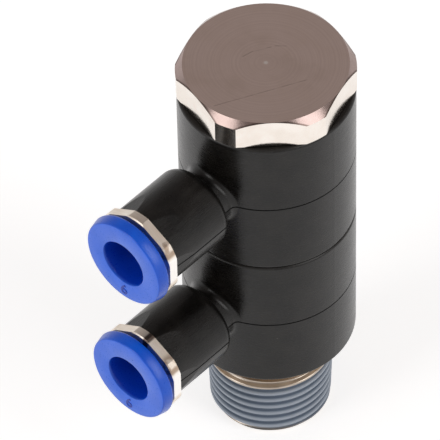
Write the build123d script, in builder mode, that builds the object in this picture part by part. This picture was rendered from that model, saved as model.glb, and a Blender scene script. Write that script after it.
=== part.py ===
"""Double banjo push-in fitting: a hollow hex-head bolt with two swivelling tube ports.

The bolt axis is Z and the origin is the centre of the thread's lower end. Both ports
point along -Y at rest. Sizes are in millimetres.
"""

import os
from math import atan, degrees, radians, tan

from build123d import *

os.makedirs("parts", exist_ok=True)

# Heights along the bolt
thread_length = 11.0
neck_length = 3.8
body_height = 21.85
head_height = 4.15
face_gap = 0.1

# Hollow bolt: taper thread stub, shank and head
thread_tip_diameter = 16.26
thread_taper = 1 / 16
thread_tip_chamfer = 0.8
relief_depth = 0.67
relief_length = 0.7
shank_diameter = 17.1
bolt_bore_diameter = 9.0
drill_point_angle = 118
cross_hole_diameter = 4.5
waist_width = 9.0
waist_depth = 1.55
bar_diameter = 23.15
hex_flats = 21.35
hex_corner_angle = 45
head_face_diameter = 21.3
head_chamfer_angle = 45

# Seals on the shank
shank_seal_section = 1.5
shank_seal_inset = 2.7
shank_groove_width = 1.9
shank_seal_clearance = 0.05

# Stop ring under the lower body
stop_ring_width = 1.45
stop_ring_height = 1.5
stop_ring_chamfer = 0.3
press_depth = 0.02

# Swivel bodies
body_diameter = 23.0
swivel_clearance = 0.07
body_edge_radius = 0.35
bore_lead_in = 0.4

# Tube and what closes round it
tube_diameter = 6.0
tube_bore_clearance = 0.08
tube_stop_step = 0.8
tube_seal_section = 1.5
tube_seal_squeeze = 0.05
tube_seal_clearance = 0.1
backing_ring_clearance = 0.15
backing_ring_length = 1.2
part_gap = 0.05

# Grab ring
grab_tip_clearance = 0.05
grab_tooth_height = 1.05
grab_tooth_slant = 0.85
grab_ring_thickness = 0.25
grab_tooth_count = 10
grab_slot_width = 0.45

# Release ring
release_travel = 0.7
release_bore_clearance = 0.1
release_sleeve_wall = 0.87
release_tip_wall = 0.45
release_bead_height = 0.32
release_bead_length = 0.9
release_tip_length = 0.45
release_slot_count = 4
release_slot_width = 0.7
release_slot_length = 2.6
release_flange_overhang = 0.99
release_flange_thickness = 1.4
release_crown = 0.45
release_lip_width = 0.32
release_rim_radius = 0.3

# Collar
collar_running_clearance = 0.08
collar_bead_clearance = 0.06
collar_sleeve_wall = 0.6
collar_catch_length = 1.75
collar_sleeve_length = 3.1
collar_band_length = 1.3
collar_flat_height = 0.2
collar_corner_height = 0.55
collar_edge_chamfer = 0.15

# Outside of a port
port_wall = 0.7
port_end_chamfer = 0.15
port_flat_length = 3.55
port_flat_depth = 0.25
neck_wall = 1.7
neck_length_outside = 1.7
neck_root_radius = 0.9
shoulder_radius = 1.3
tube_stop_inset = 1.3
tube_bore_length = 3.8

# Levels along the bolt axis
lower_level = thread_length + neck_length
upper_level = lower_level + body_height + face_gap
head_level = upper_level + body_height + face_gap
lower_port_level = lower_level + body_height / 2
upper_port_level = upper_level + body_height / 2
port_levels = {"lower": lower_port_level, "upper": upper_port_level}

# Radii about the bolt axis
thread_tip_radius = thread_tip_diameter / 2
thread_top_radius = thread_tip_radius + thread_length * thread_taper / 2
shank_radius = shank_diameter / 2
bolt_bore_radius = bolt_bore_diameter / 2
bar_radius = bar_diameter / 2
body_radius = body_diameter / 2
body_bore_radius = shank_radius + swivel_clearance

# Radii about a port's axis, from the tube outwards
tube_radius = tube_diameter / 2
air_passage_radius = tube_radius - tube_stop_step
tube_bore_radius = tube_radius + tube_bore_clearance
tube_seal_bore = tube_radius - tube_seal_squeeze
seal_bore_radius = tube_seal_bore + tube_seal_section + tube_seal_clearance
backing_ring_bore = tube_radius + backing_ring_clearance
grab_tip_radius = tube_radius + grab_tip_clearance
grab_rim_radius = grab_tip_radius + grab_tooth_height
ring_rim_radius = seal_bore_radius - part_gap
release_bore_radius = tube_radius + release_bore_clearance
release_lip_radius = release_bore_radius + release_lip_width
release_tip_radius = release_bore_radius + release_tip_wall
release_sleeve_radius = release_bore_radius + release_sleeve_wall
release_bead_radius = release_sleeve_radius + release_bead_height
collar_bore_radius = release_sleeve_radius + collar_running_clearance
collar_catch_radius = release_bead_radius + collar_bead_clearance
collar_seat_radius = collar_catch_radius + collar_sleeve_wall
port_radius = collar_seat_radius + port_wall
collar_flat_radius = port_radius + collar_flat_height
collar_corner_radius = port_radius + collar_corner_height
release_flange_radius = port_radius + release_flange_overhang
neck_radius = air_passage_radius + neck_wall

# Stack inside a port: distances from the bolt axis, going outwards
tube_stop_reach = body_radius + tube_stop_inset
seal_seat_reach = tube_stop_reach + tube_bore_length
seal_reach = seal_seat_reach + part_gap + tube_seal_section / 2
backing_ring_reach = seal_reach + tube_seal_section / 2 + part_gap
grab_ring_reach = backing_ring_reach + backing_ring_length + part_gap
grab_rim_reach = grab_ring_reach + grab_tooth_slant
collar_reach = grab_rim_reach + grab_ring_thickness + part_gap
collar_face_reach = collar_reach + collar_sleeve_length
collar_front_reach = collar_face_reach + collar_band_length
catch_reach = collar_reach + collar_catch_length
bead_front_reach = catch_reach - part_gap
bead_reach = bead_front_reach - release_bead_length
release_tip_reach = bead_reach - release_tip_length
flange_reach = collar_front_reach + part_gap + release_travel
release_face_reach = flange_reach + release_flange_thickness

# Outside of a port: distances from the bolt axis
port_reach = collar_face_reach - part_gap
port_flat_reach = port_reach - port_flat_length
shoulder_reach = body_radius + neck_length_outside


def port_section(level):
    """Plane through a port's axis: x runs outwards along the port, y is the radius."""
    return Plane(origin=(0, 0, level), x_dir=(0, -1, 0), z_dir=(-1, 0, 0))


def port_face(level, reach):
    """Plane across a port at a distance from the bolt axis, facing outwards."""
    return Plane(origin=(0, -reach, level), x_dir=(1, 0, 0), z_dir=(0, -1, 0))


def port_axis(level):
    return Axis((0, 0, level), (0, -1, 0))


def write_piece(piece, name):
    piece.label = name
    export_step(piece, f"parts/{name}.step")


# Hollow bolt: shank and taper stub are one turned profile
bolt_bore_top = upper_port_level + cross_hole_diameter / 2
drill_point_height = bolt_bore_radius / tan(radians(drill_point_angle / 2))
relief_radius = thread_top_radius - relief_depth
relief_top = thread_length + relief_length
shank_step = shank_radius - relief_radius

with BuildPart() as hollow_bolt:
    with BuildSketch(Plane.XZ):
        with BuildLine():
            Polyline(
                (bolt_bore_radius, 0),
                (thread_tip_radius - thread_tip_chamfer, 0),
                (thread_tip_radius, thread_tip_chamfer),
                (thread_top_radius, thread_length),
                (relief_radius, thread_length),
                (relief_radius, relief_top),
                (shank_radius, relief_top + shank_step),
                (shank_radius, head_level),
                (0, head_level),
                (0, bolt_bore_top + drill_point_height),
                (bolt_bore_radius, bolt_bore_top),
                close=True,
            )
        make_face()
    revolve(axis=Axis.Z)

    # Hexagon milled from the bar, which leaves its corners round
    with BuildSketch(Plane.XY.offset(head_level)):
        Circle(bar_radius)
        RegularPolygon(
            hex_flats / 2,
            6,
            major_radius=False,
            rotation=hex_corner_angle,
            mode=Mode.INTERSECT,
        )
    extrude(amount=head_height)

    # Turned chamfer round the head's top face
    head_top = head_level + head_height
    chamfer_width = bar_radius - head_face_diameter / 2
    chamfer_drop = chamfer_width * tan(radians(head_chamfer_angle))
    with BuildSketch(Plane.XZ):
        with BuildLine():
            Polyline(
                (bar_radius - chamfer_width, head_top),
                (bar_radius + chamfer_width, head_top - 2 * chamfer_drop),
                (bar_radius + chamfer_width, head_top),
                close=True,
            )
        make_face()
    revolve(axis=Axis.Z, mode=Mode.SUBTRACT)

    # Waist at each port level, where the air spreads round the shank, and seal grooves
    seal_groove_depth = shank_seal_section - swivel_clearance + shank_seal_clearance
    shank_seal_offset = body_height / 2 - shank_seal_inset
    waist_centres = [(shank_radius, level) for level in port_levels.values()]
    groove_levels = [
        level + side * shank_seal_offset for level in port_levels.values() for side in (-1, 1)
    ]
    with BuildSketch(Plane.XZ):
        with Locations(*waist_centres):
            Rectangle(2 * waist_depth, waist_width)
        with Locations(*[(shank_radius, level) for level in groove_levels]):
            Rectangle(2 * seal_groove_depth, shank_groove_width)
    revolve(axis=Axis.Z, mode=Mode.SUBTRACT)

    # Each waist is drilled through once, which joins it to the central bore on two sides
    with BuildSketch(Plane.XZ):
        with Locations(*[(0, level) for level in port_levels.values()]):
            Circle(cross_hole_diameter / 2)
    extrude(amount=shank_radius, both=True, mode=Mode.SUBTRACT)
write_piece(hollow_bolt.part, "hollow_bolt")

# Stop ring, pressed on the shank under the lower body
with BuildPart() as stop_ring:
    with BuildSketch(Plane.XY.offset(lower_level - face_gap - stop_ring_height)):
        Circle(shank_radius + stop_ring_width)
        Circle(shank_radius - press_depth, mode=Mode.SUBTRACT)
    extrude(amount=stop_ring_height)
    rim_edges = stop_ring.edges().filter_by(GeomType.CIRCLE).group_by(SortBy.RADIUS)[-1]
    chamfer(rim_edges, stop_ring_chamfer)
write_piece(stop_ring.part, "stop_ring")

# O-rings on the shank, two to each body, with the six-sided section of a squeezed ring
shank_seal_middle = shank_radius - seal_groove_depth + shank_seal_section / 2
for number, level in enumerate(groove_levels, start=1):
    with BuildPart() as shank_seal:
        with BuildSketch(Plane.XZ):
            with Locations((shank_seal_middle, level)):
                RegularPolygon(
                    shank_seal_section / 2 - shank_seal_clearance / 2,
                    6,
                    major_radius=False,
                    rotation=30,
                )
        revolve(axis=Axis.Z)
    write_piece(shank_seal.part, f"shank_seal_{number}")

for side, level in port_levels.items():
    section = port_section(level)
    axis = port_axis(level)
    body_bottom = level - body_height / 2
    body_top = level + body_height / 2

    # End of the port: round, with six flats that deepen towards the collar
    port_flat_slope = degrees(atan(port_flat_depth / port_flat_length))
    with BuildPart() as port_end:
        with BuildSketch(port_face(level, port_flat_reach)):
            RegularPolygon(port_radius, 6, major_radius=False, rotation=30)
        extrude(amount=port_flat_length, taper=port_flat_slope)
        with BuildSketch(section):
            with BuildLine():
                Polyline(
                    (port_flat_reach, 0),
                    (port_flat_reach, port_radius),
                    (port_reach - port_end_chamfer, port_radius),
                    (port_reach, port_radius - port_end_chamfer),
                    (port_reach, 0),
                    close=True,
                )
            make_face()
        revolve(axis=axis, mode=Mode.INTERSECT)

    # Swivel body: ring, neck and port are one moulding
    with BuildPart() as body:
        with BuildSketch(Plane.XY.offset(body_bottom)):
            Circle(body_radius)
        extrude(amount=body_height)
        fillet(body.edges().filter_by(GeomType.CIRCLE), body_edge_radius)
        with BuildSketch(section) as outline:
            with BuildLine():
                Polyline(
                    (0, 0),
                    (0, neck_radius),
                    (shoulder_reach, neck_radius),
                    (shoulder_reach, port_radius),
                    (port_flat_reach, port_radius),
                    (port_flat_reach, 0),
                    close=True,
                )
            make_face()
            shoulder_corner = outline.vertices().group_by(Axis.Y)[-1].sort_by(Axis.X)[0]
            fillet(shoulder_corner, shoulder_radius)
        revolve(axis=axis)
        fillet(body.edges(Select.NEW).filter_by(GeomType.BSPLINE), neck_root_radius)
        add(port_end.part)

        # Bore for the shank, with a lead-in at both ends for the seals
        with BuildSketch(Plane.XZ):
            with BuildLine():
                Polyline(
                    (0, body_bottom),
                    (body_bore_radius + bore_lead_in, body_bottom),
                    (body_bore_radius, body_bottom + bore_lead_in),
                    (body_bore_radius, body_top - bore_lead_in),
                    (body_bore_radius + bore_lead_in, body_top),
                    (0, body_top),
                    close=True,
                )
            make_face()
        revolve(axis=Axis.Z, mode=Mode.SUBTRACT)

        # Stepped socket: air passage, tube bore, seal chamber and collar seat
        with BuildSketch(section):
            with BuildLine():
                Polyline(
                    (0, 0),
                    (0, air_passage_radius),
                    (tube_stop_reach, air_passage_radius),
                    (tube_stop_reach, tube_bore_radius),
                    (seal_seat_reach, tube_bore_radius),
                    (seal_seat_reach, seal_bore_radius),
                    (collar_reach, seal_bore_radius),
                    (collar_reach, collar_seat_radius),
                    (port_reach, collar_seat_radius),
                    (port_reach, 0),
                    close=True,
                )
            make_face()
        revolve(axis=axis, mode=Mode.SUBTRACT)
    write_piece(body.part, f"{side}_body")

    # Tube seal, an O-ring against the seat at the bottom of its chamber
    with BuildPart() as tube_seal:
        with BuildSketch(section):
            with Locations((seal_reach, tube_seal_bore + tube_seal_section / 2)):
                RegularPolygon(tube_seal_section / 2, 8, major_radius=False, rotation=22.5)
        revolve(axis=axis)
    write_piece(tube_seal.part, f"{side}_tube_seal")

    # Backing ring, keeps the grab ring's teeth off the seal
    with BuildPart() as backing_ring:
        with BuildSketch(port_face(level, backing_ring_reach)):
            Circle(ring_rim_radius)
            Circle(backing_ring_bore, mode=Mode.SUBTRACT)
        extrude(amount=backing_ring_length)
    write_piece(backing_ring.part, f"{side}_backing_ring")

    # Grab ring: a flat rim with slanted teeth that bite the tube when it is pulled
    with BuildPart() as grab_ring:
        with BuildSketch(section):
            with BuildLine():
                Polyline(
                    (grab_ring_reach, grab_tip_radius),
                    (grab_rim_reach, grab_rim_radius),
                    (grab_rim_reach, ring_rim_radius),
                    (grab_rim_reach + grab_ring_thickness, ring_rim_radius),
                    (grab_rim_reach + grab_ring_thickness, grab_rim_radius),
                    (grab_ring_reach + grab_ring_thickness, grab_tip_radius),
                    close=True,
                )
            make_face()
        revolve(axis=axis)
        slot_length = grab_tooth_height + grab_slot_width
        with BuildSketch(port_face(level, grab_ring_reach)):
            with PolarLocations(grab_rim_radius - slot_length / 2, grab_tooth_count):
                Rectangle(slot_length, grab_slot_width)
        extrude(amount=grab_tooth_slant + grab_ring_thickness, mode=Mode.SUBTRACT)
    write_piece(grab_ring.part, f"{side}_grab_ring")

    # Collar: hexagon band outside, sleeve pressed in the port behind it
    with BuildPart() as collar:
        with BuildSketch(port_face(level, collar_face_reach)):
            RegularPolygon(collar_flat_radius, 6, major_radius=False, rotation=30)
        extrude(amount=collar_band_length)
        with BuildSketch(section):
            with BuildLine():
                Polyline(
                    (collar_face_reach, 0),
                    (collar_face_reach, collar_corner_radius),
                    (collar_front_reach - collar_edge_chamfer, collar_corner_radius),
                    (collar_front_reach, collar_corner_radius - collar_edge_chamfer),
                    (collar_front_reach, 0),
                    close=True,
                )
            make_face()
        revolve(axis=axis, mode=Mode.INTERSECT)
        with BuildSketch(port_face(level, collar_reach)):
            Circle(collar_seat_radius + press_depth)
        extrude(amount=collar_sleeve_length)
        with BuildSketch(section):
            with BuildLine():
                Polyline(
                    (collar_reach, 0),
                    (collar_reach, collar_catch_radius),
                    (catch_reach, collar_catch_radius),
                    (catch_reach, collar_bore_radius),
                    (collar_front_reach, collar_bore_radius),
                    (collar_front_reach, 0),
                    close=True,
                )
            make_face()
        revolve(axis=axis, mode=Mode.SUBTRACT)
    write_piece(collar.part, f"{side}_collar")

    # Release ring: flange to press, slotted sleeve whose bead is caught in the collar
    with BuildPart() as release_ring:
        with BuildSketch(section):
            with BuildLine():
                Polyline(
                    (release_tip_reach, release_bore_radius),
                    (release_tip_reach, release_tip_radius),
                    (bead_reach, release_bead_radius),
                    (bead_front_reach, release_bead_radius),
                    (bead_front_reach, release_sleeve_radius),
                    (flange_reach, release_sleeve_radius),
                    (flange_reach, release_flange_radius),
                    (release_face_reach, release_flange_radius),
                    (release_face_reach + release_crown, release_lip_radius),
                    (release_face_reach + release_crown / 2, release_bore_radius),
                    close=True,
                )
            make_face()
        revolve(axis=axis)
        rim_edges = release_ring.edges().filter_by(GeomType.CIRCLE).group_by(SortBy.RADIUS)[-1]
        fillet(rim_edges, release_rim_radius)
        slot_radius = (release_bore_radius + release_bead_radius) / 2
        with BuildSketch(port_face(level, release_tip_reach)):
            with PolarLocations(slot_radius, release_slot_count, start_angle=45):
                Rectangle(release_bead_radius - release_tip_wall, release_slot_width)
        extrude(amount=release_slot_length, mode=Mode.SUBTRACT)
    write_piece(release_ring.part, f"{side}_release_ring")
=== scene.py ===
"""Looks of the double banjo push-in fitting: finishes, the cut thread, light and camera."""

import math

import bmesh
import bpy
from mathutils import Matrix, Vector


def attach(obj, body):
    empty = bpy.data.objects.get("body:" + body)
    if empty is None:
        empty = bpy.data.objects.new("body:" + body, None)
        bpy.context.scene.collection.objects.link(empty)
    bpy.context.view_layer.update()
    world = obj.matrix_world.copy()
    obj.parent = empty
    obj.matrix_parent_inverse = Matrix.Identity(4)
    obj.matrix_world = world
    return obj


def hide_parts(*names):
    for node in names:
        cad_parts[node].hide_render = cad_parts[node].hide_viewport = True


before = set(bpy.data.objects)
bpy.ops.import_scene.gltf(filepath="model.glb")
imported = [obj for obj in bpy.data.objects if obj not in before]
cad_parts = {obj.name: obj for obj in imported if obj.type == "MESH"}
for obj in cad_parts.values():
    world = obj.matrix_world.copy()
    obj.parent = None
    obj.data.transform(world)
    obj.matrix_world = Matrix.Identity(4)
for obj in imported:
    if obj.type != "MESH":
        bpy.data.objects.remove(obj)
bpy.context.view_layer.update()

MM = 0.001
same_point = 1e-4 * MM
thin = 1e-3 * MM
near = 1e-2 * MM

# Camera, as the photograph has it
camera_azimuth = 42.1
camera_elevation = 47.15
camera_roll = -0.84
camera_distance = 0.706
camera_lens = 441.8
sensor_width = 36.0
aim_height = 33.2 * MM
aim_right = 48.17
aim_down = 1.69
focal_pixels = 5400.0

# Floor and lamps
floor_half = 6.0
floor_gap = 0.05 * MM
floor_grey = 0.68
floor_glow = 0.6
lamp_target = 30 * MM
softbox_azimuths = {"right_softbox": 98, "left_softbox": -14}
softbox_elevation = 36
softbox_reach = 1.4
softbox_width = 0.6
softbox_height = 1.2
softbox_watts = 6.4

# Levels and radii of the bolt, as in part.py
thread_length = 11.0 * MM
tip_radius = 8.13 * MM
tip_chamfer = 0.8 * MM
thread_taper = 1 / 16
relief_radius = 7.804 * MM
relief_length = 0.7 * MM
shank_radius = 8.55 * MM
bolt_bore_radius = 4.5 * MM
head_level = 58.7 * MM
hex_flat_radius = 10.675 * MM
hex_flat_angle = 15
half_sector = 30

# Form of the thread, which the CAD has as a plain taper; crest and flank in parts of a pitch
thread_pitch = 1.337 * MM
thread_depth = 0.58 * MM
first_crest = 9.65 * MM
run_out_level = 10.2 * MM
half_crest = 0.11
flank_width = 0.19
thread_columns = 160
rows_per_turn = 18

# What covers the thread
bare_tip = 0.5 * MM
coat_top = 9.3 * MM
brass_top = 13.0 * MM

# Bodies, as in part.py
port_levels = {"lower": 25.725 * MM, "upper": 47.675 * MM}
body_height = 21.85 * MM
body_radius = 11.5 * MM
parting_half_width = 0.08 * MM
# How strongly each collar gets painted shade in the step beside one flat
collar_step_shades = {"lower": 0.9, "upper": 0.0}

# Reaches and radii along a port, as the photograph has them
flange_back = 25.75 * MM
flange_face = 27.45 * MM
bore_end = 25.95 * MM
tube_hole_radius = 3.1 * MM
hole_lip_radius = 3.3 * MM
flange_columns = 128
flange_profile = [
    (flange_back, 6.22 * MM),
    (flange_back + 0.06 * MM, 6.35 * MM),
    (flange_back + 0.18 * MM, 6.43 * MM),
    (flange_back + 0.34 * MM, 6.46 * MM),
    (flange_face - 0.22 * MM, 6.20 * MM),
    (flange_face - 0.10 * MM, 6.15 * MM),
    (flange_face - 0.02 * MM, 6.05 * MM),
    (flange_face, 5.92 * MM),
    (flange_face, 3.50 * MM),
    (flange_face - 0.03 * MM, 3.42 * MM),
    (flange_face - 0.10 * MM, 3.37 * MM),
    (flange_face - 0.50 * MM, 3.28 * MM),
    (flange_face - 1.00 * MM, 3.18 * MM),
]

# Raised figure for the tube size on the flange
mark_size = 2.3 * MM
mark_relief = 0.03 * MM
mark_sunk = 0.01 * MM
mark_drop = 4.8 * MM

# Edges sharper than this many degrees are not shaded smooth
sharp_thread = 28
sharp_bolt = 14
sharp_flange = 32

# Colours, darker and lighter where there are two
nylon = (0.0022, 0.0018, 0.0015), (0.0085, 0.0074, 0.0064)
nylon_dust = (0.020, 0.0185, 0.017)
nylon_speck = (0.10, 0.095, 0.09)
nylon_wear = (0.035, 0.033, 0.031)
# Painted shade for the groove of the parting line
parting_groove_shade = (0.0005, 0.0005, 0.0005)
blue_side = (0.0, 0.080, 0.60), (0.0, 0.098, 0.67)
# Painted sheen on the ring's front face
blue_painted_sheen = (0.024, 0.145, 0.82), (0.040, 0.172, 0.90)
# Painted shade on the wall of the tube hole
blue_hole_shade = (0.0, 0.040, 0.48)
blue_mark = (0.0, 0.030, 0.36), (0.0, 0.045, 0.46)
collar_plate = (0.80, 0.71, 0.61), (0.88, 0.81, 0.73)
collar_grooves = (0.58, 0.47, 0.37)
# Painted highlight on the collar's flat that faces the light
collar_painted_highlight = (0.96, 0.93, 0.90)
# Brown for stains and painted dark reflection stripes on the collar's rounded corner
collar_stain_and_dark_reflection = (0.30, 0.19, 0.12)
# Painted shade in the step at a corner of the collar
collar_step_shade = (0.06, 0.03, 0.02)
flat_plate = (0.83, 0.76, 0.69), (0.90, 0.84, 0.78)
head_face = (0.70, 0.56, 0.51), (0.745, 0.605, 0.55)
head_tarnish = (0.64, 0.50, 0.43)
head_blotch = (0.57, 0.45, 0.39)
head_centre = (0.95, 0.90, 0.86)
head_scratch = (0.40, 0.30, 0.26)
# Painted shade: the chamfer is the same turned plate as the head's face, painted darker to dim its
# highlights
chamfer_shaded_plate = (0.31, 0.235, 0.215), (0.38, 0.29, 0.27)
# Dark line along the chamfer's lower edge
chamfer_edge_dark = (0.10, 0.07, 0.06)
sealant = (0.135, 0.172, 0.23), (0.36, 0.41, 0.48)
bare_brass = (0.40, 0.34, 0.28), (0.54, 0.47, 0.40)
ring_brass = (0.70, 0.46, 0.22), (0.80, 0.58, 0.32)
seal_black = (0.012, 0.012, 0.012), (0.022, 0.022, 0.022)
backing_white = (0.72, 0.72, 0.70), (0.80, 0.80, 0.78)
grab_steel = (0.52, 0.52, 0.51), (0.62, 0.62, 0.61)

# World, from the horizon to straight above
horizon = (1.0, 1.0, 1.0, 1)
overhead = (0.26, 0.25, 0.25, 1)
sky_between = (
    (0.12, (0.80, 0.79, 0.78, 1)),
    (0.35, (0.50, 0.48, 0.47, 1)),
    (0.6, (0.36, 0.33, 0.315, 1)),
    (0.75, (0.285, 0.25, 0.24, 1)),
)

# Scratches on the head, from and to, in millimetres
head_scratches = (
    ((0.2, -9.9), (5.9, 1.0)),
    ((-2.9, -1.0), (-2.6, 0.3)),
    ((-2.6, 0.3), (-1.4, 2.4)),
    ((-1.0, 3.05), (0.0, 3.9)),
)


# Node helpers
def feed(tree, socket, value):
    """Links an output to an input, or sets the input to a value."""
    if isinstance(value, bpy.types.NodeSocket):
        tree.links.new(value, socket)
    else:
        socket.default_value = value


def node(tree, kind, settings=None, **inputs):
    """Adds a node. Inputs are given by name with underscores, as values or sockets."""
    made = tree.nodes.new(kind)
    for key, value in (settings or {}).items():
        setattr(made, key, value)
    for key, value in inputs.items():
        feed(tree, made.inputs[key.replace("_", " ")], value)
    return made


def maths(tree, operation, a, b=0.0):
    made = node(tree, "ShaderNodeMath", {"operation": operation})
    feed(tree, made.inputs[0], a)
    feed(tree, made.inputs[1], b)
    return made.outputs[0]


def plus(tree, a, b):
    return maths(tree, "ADD", a, b)


def minus(tree, a, b):
    return maths(tree, "SUBTRACT", a, b)


def times(tree, a, b):
    return maths(tree, "MULTIPLY", a, b)


def larger(tree, a, b):
    return maths(tree, "MAXIMUM", a, b)


def ramp(tree, value, low, high, start=0.0, end=1.0):
    """Smooth step from start, where the value is low, to end, where it is high."""
    made = node(
        tree,
        "ShaderNodeMapRange",
        {"interpolation_type": "SMOOTHSTEP"},
        Value=value,
        From_Min=low,
        From_Max=high,
        To_Min=start,
        To_Max=end,
    )
    return made.outputs["Result"]


def band(tree, value, middle, half_width, soft):
    """1 within half_width of middle, fading to 0 over soft."""
    away = maths(tree, "ABSOLUTE", minus(tree, value, middle))
    return ramp(tree, away, half_width, half_width + soft, 1.0, 0.0)


def blend(tree, factor, a, b):
    """Mixes two colours."""
    made = node(tree, "ShaderNodeMix", {"data_type": "RGBA"})
    for index, value in ((0, factor), (6, a), (7, b)):
        feed(tree, made.inputs[index], (*value, 1.0) if isinstance(value, tuple) else value)
    return made.outputs[2]


def mix_value(tree, factor, a, b):
    made = node(tree, "ShaderNodeMix", {"data_type": "FLOAT"})
    for index, value in ((0, factor), (2, a), (3, b)):
        feed(tree, made.inputs[index], value)
    return made.outputs[0]


def mottle(tree, cloud, low, high, colours):
    """The darker colour where the cloud is low, the lighter one where it is high."""
    return blend(tree, ramp(tree, cloud, low, high), *colours)


def own_place(tree):
    """A point of the surface in the piece's own metres, so that what uses it rides along."""
    return node(tree, "ShaderNodeTexCoord").outputs["Object"]


def noise(tree, scale, detail=2.0, stretch=(1, 1, 1), roughness=0.5):
    mapping = node(tree, "ShaderNodeMapping", Vector=own_place(tree), Scale=stretch)
    made = node(
        tree,
        "ShaderNodeTexNoise",
        Vector=mapping.outputs["Vector"],
        Scale=scale,
        Detail=detail,
        Roughness=roughness,
    )
    return made.outputs[0]


def position(tree):
    split = node(tree, "ShaderNodeSeparateXYZ", Vector=own_place(tree))
    return split.outputs[0], split.outputs[1], split.outputs[2]


def facing(tree):
    """The surface's normal in the piece's own axes."""
    normal = node(tree, "ShaderNodeTexCoord").outputs["Normal"]
    split = node(tree, "ShaderNodeSeparateXYZ", Vector=normal)
    return split.outputs[0], split.outputs[1], split.outputs[2]


def distance(tree, a, b):
    return maths(tree, "SQRT", plus(tree, times(tree, a, a), times(tree, b, b)))


def scratch(tree, x, y, start, end, half_width=0.03 * MM):
    """1 along a straight scratch between two points of a level face, in millimetres."""
    length = math.dist(start, end)
    ahead = ((end[0] - start[0]) / length, (end[1] - start[1]) / length)
    dx = minus(tree, x, start[0] * MM)
    dy = minus(tree, y, start[1] * MM)
    along = plus(tree, times(tree, dx, ahead[0]), times(tree, dy, ahead[1]))
    across = minus(tree, times(tree, dx, ahead[1]), times(tree, dy, ahead[0]))
    on_line = band(tree, across, 0.0, half_width, 0.07 * MM)
    within = band(tree, along, length * MM / 2, length * MM / 2, 0.3 * MM)
    return times(tree, on_line, within)


def new_material(name, roughness=0.5, metallic=0.0, specular=0.5):
    material = bpy.data.materials.new(name)
    material.use_nodes = True
    tree = material.node_tree
    shader = tree.nodes["Principled BSDF"]
    shader.inputs["Roughness"].default_value = roughness
    shader.inputs["Metallic"].default_value = metallic
    shader.inputs["Specular IOR Level"].default_value = specular
    return material, tree, shader


def bump(tree, shader, height, depth):
    made = node(tree, "ShaderNodeBump", Strength=1.0, Distance=depth, Height=height)
    feed(tree, shader.inputs["Normal"], made.outputs[0])


# Finishes
def black_plastic(level):
    """Moulded nylon: faint grain and dust, a parting line at the level of the port, painted near
    black as painted shade of its groove.
    """
    material, tree, shader = new_material("black_plastic", specular=0.31)
    x, y, z = position(tree)
    height = minus(tree, z, level)
    cloud = noise(tree, 350, 3)
    streak = noise(tree, 260, 3, (1, 1, 14))
    grain = noise(tree, 6000, 3)
    shade = mottle(tree, cloud, 0.3, 0.7, nylon)
    dust = times(tree, ramp(tree, grain, 0.45, 0.8), 0.5)
    shade = blend(tree, dust, shade, nylon_dust)
    specks = node(tree, "ShaderNodeTexVoronoi", Vector=own_place(tree), Scale=420.0)
    speck = ramp(tree, specks.outputs["Distance"], 0.03, 0.055, 0.6, 0.0)
    speck = times(tree, speck, ramp(tree, cloud, 0.52, 0.6))
    shade = blend(tree, speck, shade, nylon_speck)
    around = distance(tree, x, y)
    on_ring = ramp(tree, around, body_radius - 0.5 * MM, body_radius - 0.2 * MM)
    rim = maths(tree, "ABSOLUTE", height)
    rim = ramp(tree, rim, body_height / 2 - 0.32 * MM, body_height / 2 - 0.1 * MM)
    rim = times(tree, times(tree, rim, on_ring), 0.45)
    shade = blend(tree, rim, shade, nylon_wear)
    # The parting line is real; its near-black colour and dimmed Specular Tint are painted shade of a
    # groove that the mesh does not have
    line = band(tree, height, 0.0, parting_half_width, 0.05 * MM)
    shade = blend(tree, line, shade, parting_groove_shade)
    feed(tree, shader.inputs["Base Color"], shade)
    tint = blend(tree, line, (1, 1, 1), (0.1, 0.1, 0.1))
    feed(tree, shader.inputs["Specular Tint"], tint)
    rough = ramp(tree, streak, 0.3, 0.8, 0.30, 0.23)
    feed(tree, shader.inputs["Roughness"], mix_value(tree, line, rough, 0.8))
    surface = plus(tree, times(tree, grain, 0.6), times(tree, streak, 0.25))
    surface = minus(tree, surface, times(tree, line, 3.0))
    bump(tree, shader, surface, 0.02 * MM)
    return material


def blue_plastic(level):
    """Acetal: the front face painted paler as a painted sheen, and the tube hole's wall painted
    darker as painted shade.
    """
    material, tree, shader = new_material("blue_plastic", specular=0.5)
    x, _, z = position(tree)
    _, along, _ = facing(tree)
    cloud = noise(tree, 500, 3)
    grain = noise(tree, 5000, 2)
    shade = mottle(tree, cloud, 0.3, 0.7, blue_side)
    # Painted sheen: faces that point out along the port are painted paler, standing in for the
    # reflection on the front face
    facing_front = ramp(tree, times(tree, along, -1.0), 0.75, 0.97)
    painted_sheen = mottle(tree, cloud, 0.25, 0.75, blue_painted_sheen)
    shade = blend(tree, facing_front, shade, painted_sheen)
    from_axis = distance(tree, x, minus(tree, z, level))
    # Painted shade: within the lip of the tube hole the wall is painted darker blue
    inside = ramp(tree, from_axis, hole_lip_radius, hole_lip_radius + 0.08 * MM, 1.0, 0.0)
    shade = blend(tree, inside, shade, blue_hole_shade)
    feed(tree, shader.inputs["Base Color"], shade)
    feed(tree, shader.inputs["Roughness"], ramp(tree, grain, 0.2, 0.8, 0.26, 0.36))
    bump(tree, shader, plus(tree, grain, cloud), 0.006 * MM)
    return material


def stain_and_light_sector(tree, angle, middle, half_width, soft):
    """1 in a sector of the collar, in degrees round the port's axis."""
    middle, half_width, soft = map(math.radians, (middle, half_width, soft))
    return band(tree, angle, middle, half_width, soft)


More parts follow.
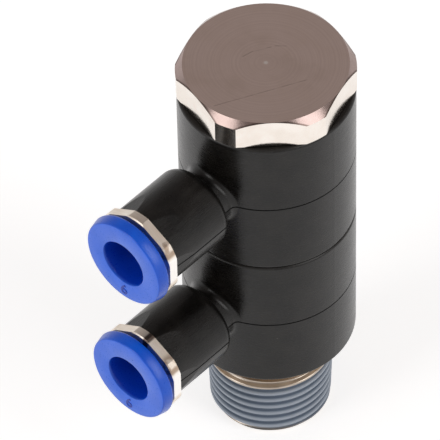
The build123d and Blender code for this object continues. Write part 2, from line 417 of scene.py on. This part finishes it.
def nickel(level, step_shade):
    """Dull nickel plate on turned brass, stained brown beside the flats, with painted dark
    reflection stripes there too, a painted highlight on one flat and painted shade at a notch by
    another.
    """
    material, tree, shader = new_material("nickel_plate", metallic=1.0)
    x, _, z = position(tree)
    angle = maths(tree, "ARCTAN2", minus(tree, z, level), x)
    cloud = noise(tree, 420, 3)
    grain = noise(tree, 3500, 3)
    turned = noise(tree, 500, 2, (1, 16, 1))
    shade = mottle(tree, cloud, 0.35, 0.7, collar_plate)
    shade = blend(tree, ramp(tree, turned, 0.4, 0.7, 0.0, 0.25), shade, collar_grooves)
    # Brown on the rounded corner between flats, at 38 and 29 degrees: partly stain in patches,
    # partly painted dark reflection stripes
    patch = ramp(tree, noise(tree, 900, 3), 0.42, 0.62)
    stain_and_dark_reflection = times(tree, stain_and_light_sector(tree, angle, 38, 7, 8), patch)
    stain_and_dark_reflection = larger(tree, stain_and_dark_reflection, stain_and_light_sector(tree, angle, 29, 1.5, 4))
    # Painted highlight: the flat around 4 degrees is painted near white
    shade = blend(tree, stain_and_light_sector(tree, angle, 4, 16, 6), shade, collar_painted_highlight)
    shade = blend(tree, times(tree, stain_and_dark_reflection, 0.75), shade, collar_stain_and_dark_reflection)
    # Painted shade in the step at the corner near 80 degrees
    shade = blend(tree, times(tree, stain_and_light_sector(tree, angle, 80, 3, 3), step_shade), shade, collar_step_shade)
    feed(tree, shader.inputs["Base Color"], shade)
    feed(tree, shader.inputs["Roughness"], ramp(tree, grain, 0.2, 0.8, 0.34, 0.46))
    bump(tree, shader, plus(tree, turned, times(tree, grain, 0.3)), 0.006 * MM)
    return material


def turned_face(tree, x, y, around, cloud):
    """Top of the head: its colour, its turning rings and its scratches."""
    outward = {"noise_dimensions": "1D"}
    rings = node(tree, "ShaderNodeTexNoise", outward, W=around, Scale=3800.0, Detail=2.0).outputs[0]
    shade = mottle(tree, rings, 0.3, 0.7, head_face)
    shade = blend(tree, ramp(tree, cloud, 0.35, 0.75, 0.0, 0.3), shade, head_tarnish)
    blotch = ramp(tree, noise(tree, 170, 5, roughness=0.65), 0.47, 0.68, 0.0, 0.30)
    shade = blend(tree, blotch, shade, head_blotch)
    centre = ramp(tree, around, 0.15 * MM, 0.4 * MM, 0.8, 0.0)
    shade = blend(tree, centre, shade, head_centre)
    lines = 0.0
    for start, end in head_scratches:
        lines = larger(tree, scratch(tree, x, y, start, end), lines)
    lines = times(tree, lines, ramp(tree, noise(tree, 700, 3), 0.35, 0.6, 0.2, 0.75))
    return blend(tree, lines, shade, head_scratch), rings, lines


def chamfer_shade(tree, x, y, around, cloud):
    """Corners of the head: a darker copy of the plate as painted shade, with a dark line beside the
    six flats.
    """
    sector = minus(tree, maths(tree, "ARCTAN2", y, x), math.radians(hex_flat_angle))
    sector = maths(tree, "PINGPONG", sector, math.radians(half_sector))
    to_flat = times(tree, around, maths(tree, "COSINE", sector))
    # A dark line along the chamfer's lower edge, beside the flats
    edge = hex_flat_radius - 0.22 * MM, hex_flat_radius - 0.10 * MM
    edge_dark = ramp(tree, to_flat, *edge, 0.0, 0.8)
    # The chamfer's darker plate is painted shade
    return blend(tree, edge_dark, mottle(tree, cloud, 0.35, 0.7, chamfer_shaded_plate), chamfer_edge_dark)


def sealant_coat(tree, z, around, cloud):
    """Where the thread is coated, and the coat's colour: pale on crests, dark in roots."""
    uneven = plus(tree, z, times(tree, cloud, 0.5 * MM))
    coated = ramp(tree, uneven, coat_top, coat_top + 0.4 * MM, 1.0, 0.0)
    coated = times(tree, coated, ramp(tree, z, bare_tip, bare_tip + 0.3 * MM))
    full_radius = plus(tree, times(tree, z, thread_taper / 2), tip_radius)
    deep = minus(tree, full_radius, around)
    crest = ramp(tree, deep, 0.10 * MM, 0.35 * MM, 1.0, 0.0)
    return coated, blend(tree, crest, *sealant)


def bolt_finish():
    """Nickel head with turning marks; bare brass and blue-grey sealant on the thread."""
    material, tree, shader = new_material("plated_bolt", metallic=1.0)
    x, y, z = position(tree)
    _, _, up = facing(tree)
    around = distance(tree, x, y)
    cloud = noise(tree, 300, 4)
    grain = noise(tree, 3500, 3)

    top = ramp(tree, up, 0.95, 0.99)
    on_head = ramp(tree, z, head_level, head_level + 1 * MM)
    turned = times(tree, ramp(tree, up, 0.5, 0.6), on_head)
    on_thread = ramp(tree, z, brass_top, brass_top + 0.2 * MM, 1.0, 0.0)
    coated, coat = sealant_coat(tree, z, around, cloud)
    face, rings, lines = turned_face(tree, x, y, around, cloud)
    # Chamfer colour, a darker copy of the plate as painted shade
    chamfer = chamfer_shade(tree, x, y, around, cloud)

    shade = mottle(tree, cloud, 0.35, 0.7, flat_plate)
    shade = blend(tree, turned, shade, blend(tree, top, chamfer, face))
    shade = blend(tree, on_thread, shade, mottle(tree, cloud, 0.3, 0.7, bare_brass))
    shade = blend(tree, coated, shade, coat)
    feed(tree, shader.inputs["Base Color"], shade)
    feed(tree, shader.inputs["Metallic"], minus(tree, 1.0, coated))
    rough = ramp(tree, grain, 0.2, 0.8, 0.13, 0.19)
    for where, value in ((turned, 0.22), (top, 0.28), (on_thread, 0.28), (coated, 0.5)):
        rough = mix_value(tree, where, rough, value)
    feed(tree, shader.inputs["Roughness"], rough)
    height = times(tree, times(tree, rings, top), 0.4)
    height = minus(tree, height, times(tree, lines, 1.5))
    height = plus(tree, height, times(tree, grain, 0.4))
    bump(tree, shader, height, 0.008 * MM)
    return material


def plain_finish(name, colours, roughness, metallic=0.0):
    material, tree, shader = new_material(name, roughness=roughness, metallic=metallic)
    cloud = noise(tree, 1500, 3)
    feed(tree, shader.inputs["Base Color"], blend(tree, cloud, *colours))
    bump(tree, shader, cloud, 0.004 * MM)
    return material


def dress(name, material):
    """Gives a CAD node its finish."""
    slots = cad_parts[name].data.materials
    slots.clear()
    slots.append(material)


# Mesh helpers
def new_object(name, data):
    made = bpy.data.objects.new(name, data)
    bpy.context.scene.collection.objects.link(made)
    return made


def cad_mesh(name):
    """A copy of a CAD node's mesh to work on, with its points joined up."""
    made = bmesh.new()
    made.from_mesh(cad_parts[name].data)
    bmesh.ops.remove_doubles(made, verts=made.verts, dist=same_point)
    return made


def finished_mesh(made, name, sharp):
    """The worked mesh with its faces turned outward; sharp gives an edge's limit in degrees."""
    bmesh.ops.recalc_face_normals(made, faces=made.faces)
    for face in made.faces:
        face.smooth = True
    for edge in made.edges:
        if len(edge.link_faces) == 2:
            edge.smooth = edge.calc_face_angle(0.0) < math.radians(sharp(edge))
    mesh = bpy.data.meshes.new(name)
    made.to_mesh(mesh)
    made.free()
    return mesh


def open_edges(made, axis, level):
    """Edges left open, at a level of an axis, where faces of the CAD mesh were taken."""
    return [
        edge
        for edge in made.edges
        if len(edge.link_faces) == 1
        and all(abs(v.co[axis] - level) < near for v in edge.verts)
    ]


def circle(columns):
    """Cosine and sine at each of a number of columns round an axis."""
    turns = [2 * math.pi * column / columns for column in range(columns)]
    return [(math.cos(turn), math.sin(turn)) for turn in turns]


def skin(made, low, high):
    """Faces between two rings that have the same number of points."""
    for column in range(len(low)):
        after = (column + 1) % len(low)
        made.faces.new((low[column], low[after], high[after], high[column]))


def bridge(made, edges, ring, turn):
    """Joins open edges of the CAD mesh to a ring of new points, going round by their turn."""
    old = sorted({v for edge in edges for v in edge.verts}, key=turn)
    new = sorted(ring, key=turn)

    def turn_at(points, index):
        return turn(points[index % len(points)]) + 2 * math.pi * (index // len(points))

    a = b = 0
    while a + b < len(old) + len(new):
        corners = [old[a % len(old)], new[b % len(new)]]
        next_is_old = turn_at(old, a + 1) <= turn_at(new, b + 1)
        if b == len(new) or (a < len(old) and next_is_old):
            a += 1
            corners.append(old[a % len(old)])
        else:
            b += 1
            corners.append(new[b % len(new)])
        made.faces.new(corners)


# Bolt with its thread
def thread_profile(fraction):
    """Depth of the thread over one pitch: 0 at the crest, 1 at the sealant in the root."""
    away = abs((fraction + 0.5) % 1.0 - 0.5)
    slope = min(max((away - half_crest) / flank_width, 0.0), 1.0)
    return slope * slope * (3 - 2 * slope)


def thread_radius(height, angle):
    full = tip_radius + height * thread_taper / 2
    facing_camera = math.radians(camera_azimuth - 90)
    turn = (angle - facing_camera) / (2 * math.pi)
    run_out = max(0.0, (height - run_out_level) / (thread_length - run_out_level))
    depth = thread_depth + run_out * (full - relief_radius - thread_depth)
    radius = full - depth * thread_profile((height - first_crest) / thread_pitch - turn)
    return min(radius, tip_radius - tip_chamfer + height)


def thread_skin(made):
    """The thread's surface. Its rows climb with the helix, so its crest runs along them."""
    rows = int((thread_length / thread_pitch + 1) * rows_per_turn) + 2
    grid = []
    for row in range(-rows_per_turn, rows + rows_per_turn):
        line = []
        for column in range(thread_columns):
            angle = 2 * math.pi * column / thread_columns
            height = (row / rows_per_turn + column / thread_columns) * thread_pitch
            height = min(max(height, 0.0), thread_length)
            radius = thread_radius(height, angle)
            line.append(
                made.verts.new((radius * math.cos(angle), radius * math.sin(angle), height))
            )
        grid.append(line)
    for low, high in zip(grid, grid[1:]):
        for column in range(thread_columns - 1):
            made.faces.new((low[column], low[column + 1], high[column + 1], high[column]))
    for row in range(len(grid) - rows_per_turn - 1):
        low, high = grid[row], grid[row + 1]
        low_after, high_after = grid[row + rows_per_turn], grid[row + rows_per_turn + 1]
        made.faces.new((low[-1], low_after[0], high_after[0], high[-1]))
    return grid[-1]


def threaded_bolt():
    """The CAD bolt with its plain taper stub cut away and a real thread in its place."""
    made = cad_mesh("hollow_bolt")
    relief_top = thread_length + relief_length
    joint = relief_top + (shank_radius - relief_radius)
    stub = [
        face
        for face in made.faces
        if all(v.co.z < joint + thin for v in face.verts)
        and all(math.hypot(v.co.x, v.co.y) > bolt_bore_radius + near for v in face.verts)
        or all(v.co.z < thin for v in face.verts)
    ]
    bmesh.ops.delete(made, geom=stub, context="FACES")
    bore_edges = open_edges(made, 2, 0.0)
    shank_edges = open_edges(made, 2, joint)

    def turn(vert):
        return math.atan2(vert.co.y, vert.co.x) % (2 * math.pi)

    def ring(radius, height):
        return [made.verts.new((radius * c, radius * s, height)) for c, s in circle(thread_columns)]

    thread_end = thread_skin(made)
    bridge(made, bore_edges, ring(tip_radius - tip_chamfer, 0.0), turn)
    neck = ring(relief_radius, relief_top)
    skin(made, thread_end, ring(relief_radius, thread_length))
    skin(made, ring(relief_radius, thread_length), neck)
    bridge(made, shank_edges, neck, turn)
    bmesh.ops.remove_doubles(made, verts=made.verts, dist=2 * thin)
    bmesh.ops.dissolve_degenerate(made, edges=made.edges, dist=thin)

    def sharp(edge):
        return sharp_thread if all(v.co.z < joint for v in edge.verts) else sharp_bolt

    mesh = finished_mesh(made, "threaded_bolt", sharp)
    piece = new_object("threaded_bolt", mesh)
    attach(piece, "bolt")
    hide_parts("hollow_bolt")
    mesh.materials.append(bolt_finish())


# Release ring with the flange's real edge
def pressed_ring(side, level, material):
    """The CAD ring's sleeve and bore, with a flange whose side slopes to a flat face."""
    made = cad_mesh(f"{side}_release_ring")
    flange = [face for face in made.faces if all(v.co.y < near - flange_back for v in face.verts)]
    bmesh.ops.delete(made, geom=flange, context="FACES")
    for vert in made.verts:
        from_axis = math.hypot(vert.co.x, vert.co.z - level)
        if -vert.co.y > bore_end and from_axis < tube_hole_radius + 0.05 * MM:
            vert.co.y = -bore_end
    bore_edges = open_edges(made, 1, -bore_end)
    sleeve_edges = open_edges(made, 1, -flange_back)

    def turn(vert):
        return math.atan2(vert.co.z - level, vert.co.x) % (2 * math.pi)

    rings = [
        [made.verts.new((radius * c, -reach, level + radius * s)) for c, s in circle(flange_columns)]
        for reach, radius in flange_profile
    ]
    for before, after in zip(rings, rings[1:]):
        skin(made, after, before)
    bridge(made, sleeve_edges, rings[0], turn)
    bridge(made, bore_edges, rings[-1], turn)

    mesh = finished_mesh(made, f"{side}_pressed_ring", lambda edge: sharp_flange)
    piece = new_object(f"{side}_pressed_ring", mesh)
    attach(piece, f"{side}_release")
    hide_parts(f"{side}_release_ring")
    mesh.materials.append(material)


def size_mark(side, level, material):
    """The tube size, 6, raised on the lower side of the ring's face."""
    text = bpy.data.curves.new(f"{side}_size_text", "FONT")
    text.body = "6"
    text.size = mark_size
    text.extrude = mark_relief
    text.bevel_depth = mark_relief
    text.align_x = "CENTER"
    text.align_y = "CENTER"
    shaped = new_object(f"{side}_size_text", text)
    bpy.context.view_layer.update()
    mesh = bpy.data.meshes.new_from_object(shaped)
    bpy.data.objects.remove(shaped)
    place = Vector((0, -flange_face - mark_sunk, level - mark_drop))
    upright = Matrix.Rotation(math.radians(90), 4, "X")
    mesh.transform(Matrix.Translation(place) @ upright)
    piece = new_object(f"{side}_size_mark", mesh)
    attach(piece, f"{side}_release")
    mesh.materials.clear()
    mesh.materials.append(material)


# Stage
def direction(azimuth, elevation):
    a, e = math.radians(azimuth), math.radians(elevation)
    return Vector((math.sin(a) * math.cos(e), -math.cos(a) * math.cos(e), math.sin(e)))


def place_camera():
    data = bpy.data.cameras.new("camera")
    data.lens = camera_lens
    data.sensor_width = sensor_width
    data.clip_start, data.clip_end = 0.01, 50.0
    camera = new_object("camera", data)
    back = direction(camera_azimuth, camera_elevation)
    turn = (-back).to_track_quat("-Z", "Y").to_matrix()
    turn = turn @ Matrix.Rotation(math.radians(camera_roll), 3, "Z")
    turn = turn @ Matrix.Rotation(math.atan(aim_right / focal_pixels), 3, "Y")
    turn = turn @ Matrix.Rotation(math.atan(aim_down / focal_pixels), 3, "X")
    place = Vector((0, 0, aim_height)) + back * camera_distance
    camera.matrix_world = Matrix.Translation(place) @ turn.to_4x4()
    bpy.context.scene.camera = camera


def make_floor():
    """Pale floor: it shows white to the camera and in metal, and keeps the shadow."""
    mesh = bpy.data.meshes.new("floor")
    half = floor_half
    corners = [(-half, -half, 0), (half, -half, 0), (half, half, 0), (-half, half, 0)]
    mesh.from_pydata(corners, [], [(0, 1, 2, 3)])
    floor = new_object("floor", mesh)
    floor.location.z = -floor_gap
    material, tree, shader = new_material("pale_floor", roughness=0.9, specular=0.0)
    shader.inputs["Base Color"].default_value = (floor_grey, floor_grey, floor_grey, 1.0)
    path = node(tree, "ShaderNodeLightPath").outputs
    seen = larger(tree, path["Is Camera Ray"], path["Is Glossy Ray"])
    seen = larger(tree, seen, path["Is Transmission Ray"])
    glow = node(tree, "ShaderNodeEmission", Strength=times(tree, seen, floor_glow))
    total = node(tree, "ShaderNodeAddShader")
    feed(tree, total.inputs[0], shader.outputs[0])
    feed(tree, total.inputs[1], glow.outputs[0])
    feed(tree, tree.nodes["Material Output"].inputs["Surface"], total.outputs[0])
    mesh.materials.append(material)


def make_world():
    """A pale horizon that darkens overhead."""
    world = bpy.data.worlds.new("studio")
    world.use_nodes = True
    bpy.context.scene.world = world
    tree = world.node_tree
    upward = node(tree, "ShaderNodeTexCoord").outputs["Generated"]
    split = node(tree, "ShaderNodeSeparateXYZ", Vector=upward)
    shade = node(tree, "ShaderNodeValToRGB", Fac=split.outputs[2])
    stops = shade.color_ramp.elements
    stops[0].position, stops[0].color = 0.0, horizon
    stops[1].position, stops[1].color = 1.0, overhead
    for place, colour in sky_between:
        stops.new(place).color = colour
    background = tree.nodes["Background"]
    feed(tree, background.inputs["Color"], shade.outputs[0])
    background.inputs["Strength"].default_value = 1.0


def softbox(name, azimuth):
    data = bpy.data.lights.new(name, "AREA")
    data.shape = "RECTANGLE"
    data.size = softbox_width
    data.size_y = softbox_height
    data.energy = softbox_watts
    lamp = new_object(name, data)
    towards = direction(azimuth, softbox_elevation)
    lamp.location = Vector((0, 0, lamp_target)) + towards * softbox_reach
    lamp.rotation_mode = "QUATERNION"
    lamp.rotation_quaternion = towards.to_track_quat("Z", "Y")


# Build
place_camera()
make_world()
make_floor()
for name, azimuth in softbox_azimuths.items():
    softbox(name, azimuth)

threaded_bolt()
marked_blue = plain_finish("marked_blue", blue_mark, 0.4)
rubber = plain_finish("seal_rubber", seal_black, 0.6)
white = plain_finish("white_plastic", backing_white, 0.45)
steel = plain_finish("spring_steel", grab_steel, 0.28, 1.0)
for side, level in port_levels.items():
    dress(f"{side}_body", black_plastic(level))
    dress(f"{side}_collar", nickel(level, collar_step_shades[side]))
    dress(f"{side}_tube_seal", rubber)
    dress(f"{side}_backing_ring", white)
    dress(f"{side}_grab_ring", steel)
    pressed_ring(side, level, blue_plastic(level))
    size_mark(side, level, marked_blue)
dress("stop_ring", plain_finish("turned_brass", ring_brass, 0.32, 1.0))
for number in range(1, 5):
    dress(f"shank_seal_{number}", rubber)

bpy.context.scene.view_settings.view_transform = "Standard"
